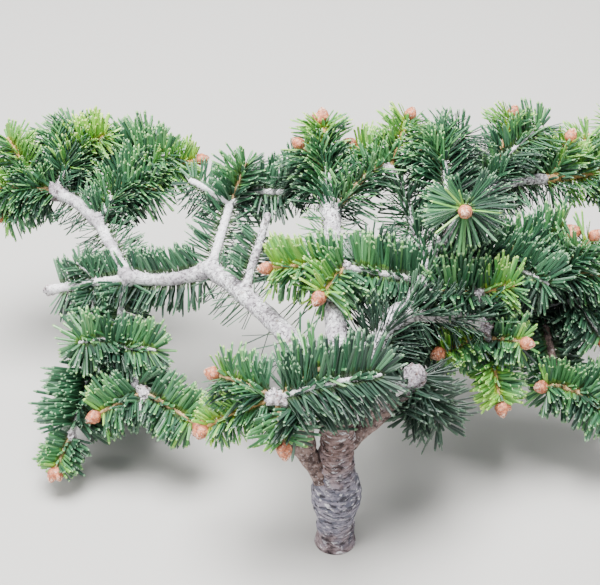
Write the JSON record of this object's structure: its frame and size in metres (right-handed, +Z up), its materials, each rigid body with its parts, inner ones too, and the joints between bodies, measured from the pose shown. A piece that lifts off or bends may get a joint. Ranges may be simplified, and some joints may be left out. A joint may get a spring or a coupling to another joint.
{
  "type": "spreading fir shrub",
  "caption": "Low spreading conifer shrub rooted in the ground, with a short bare trunk, pale wandering boughs and bristly shoots of short flat needles that end in plump buds.",
  "frame": {"origin": "centre of the flat cut under the trunk, at ground level", "axes": "+Z up, +X to the right of someone facing the shrub, along its longest spread, +Y away from them"},
  "size_m": [0.3773, 0.2348, 0.1632],
  "materials": {
    "trunk_bark": "rough grey-brown bark, wrinkled in rings",
    "bough_bark": "smooth pale grey bark with fine specks and leaf scars",
    "twig_bark": "thin tan-grey bark",
    "dark_needles": "waxy dark blue-green needles",
    "fresh_needles": "glossy yellow-green needles"
  },
  "bodies": {
    "root": {"trunk": "trunk_bark", "bough_front_foot": "bough_bark", "bough_front": "bough_bark", "bough_left_inner": "bough_bark", "bough_left_outer": "bough_bark", "bough_left_turn": "bough_bark", "bough_left_far": "bough_bark", "stub_left": "bough_bark", "twig_left_low": "twig_bark", "twig_left_foot": "twig_bark", "twig_left_drooping": "twig_bark", "bough_middle": "bough_bark", "bough_right_inner": "bough_bark", "bough_right_middle": "bough_bark", "bough_right_outer": "bough_bark", "bough_right_far": "bough_bark", "bough_right_back": "bough_bark", "bough_right_rear": "bough_bark", "bough_right_mid": "bough_bark", "bough_right_low": "bough_bark", "bough_right_lower": "bough_bark", "bough_right_foot": "bough_bark", "stub_front": "bough_bark", "foliage_left_tip": "dark_needles", "foliage_left_crest": "fresh_needles", "foliage_left_fan": "dark_needles", "foliage_left_side": "dark_needles", "foliage_left_low": "dark_needles", "foliage_left_foot": "fresh_needles", "foliage_left_droop": "dark_needles", "foliage_left_rising": "dark_needles", "foliage_leader": "dark_needles", "foliage_middle_right": "dark_needles", "foliage_back_left": "dark_needles", "foliage_back": "dark_needles", "foliage_rosette": "dark_needles", "foliage_right_crest": "dark_needles", "foliage_right_far": "dark_needles", "foliage_right_mid": "dark_needles", "foliage_right_edge": "dark_needles", "foliage_long_spray": "dark_needles", "foliage_hanging": "dark_needles", "foliage_hanging_top": "dark_needles", "foliage_under": "dark_needles", "foliage_right_shade": "dark_needles", "foliage_right_foot": "fresh_needles", "foliage_front": "fresh_needles", "foliage_knob": "dark_needles", "foliage_behind": "dark_needles"}
  },
  "joints": []
}
